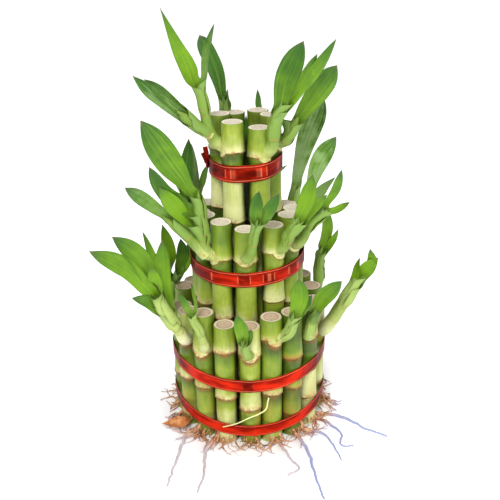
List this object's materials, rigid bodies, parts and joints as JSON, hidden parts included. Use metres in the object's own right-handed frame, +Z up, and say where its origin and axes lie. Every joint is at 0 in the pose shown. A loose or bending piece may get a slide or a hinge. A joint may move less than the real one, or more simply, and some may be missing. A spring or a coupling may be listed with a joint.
{
  "type": "lucky bamboo",
  "caption": "Lucky bamboo: green cut canes tied upright with red ribbons in a stepped round tower, with leafy shoots at the nodes and loose roots at the foot.",
  "frame": {"origin": "middle of the whole plant's box, on the surface it stands on", "axes": "+Z up along the canes; -Y to the front, where the picture was taken from; +X to the right as seen from there"},
  "size_m": [0.1414, 0.1414, 0.2131],
  "materials": {
    "cane": "living green cane, leaf and root, satin",
    "ribbon": "metallic red foil ribbon"
  },
  "bodies": {
    "root": {"cane_top_1": "cane", "cane_top_2": "cane", "cane_top_3": "cane", "cane_top_4": "cane", "cane_top_5": "cane", "cane_top_6": "cane", "cane_middle_1": "cane", "cane_middle_2": "cane", "cane_middle_3": "cane", "cane_middle_4": "cane", "cane_middle_5": "cane", "cane_middle_6": "cane", "cane_middle_7": "cane", "cane_middle_8": "cane", "cane_middle_9": "cane", "cane_middle_10": "cane", "cane_middle_11": "cane", "cane_middle_12": "cane", "cane_base_1": "cane", "cane_base_2": "cane", "cane_base_3": "cane", "cane_base_4": "cane", "cane_base_5": "cane", "cane_base_6": "cane", "cane_base_7": "cane", "cane_base_8": "cane", "cane_base_9": "cane", "cane_base_10": "cane", "cane_base_11": "cane", "cane_base_12": "cane", "cane_base_13": "cane", "cane_base_14": "cane", "cane_base_15": "cane", "cane_base_16": "cane", "cane_base_17": "cane", "cane_base_18": "cane", "cane_top_7": "cane", "ribbon_foot": "ribbon", "ribbon_base": "ribbon", "ribbon_middle": "ribbon", "ribbon_top": "ribbon"}
  },
  "joints": []
}
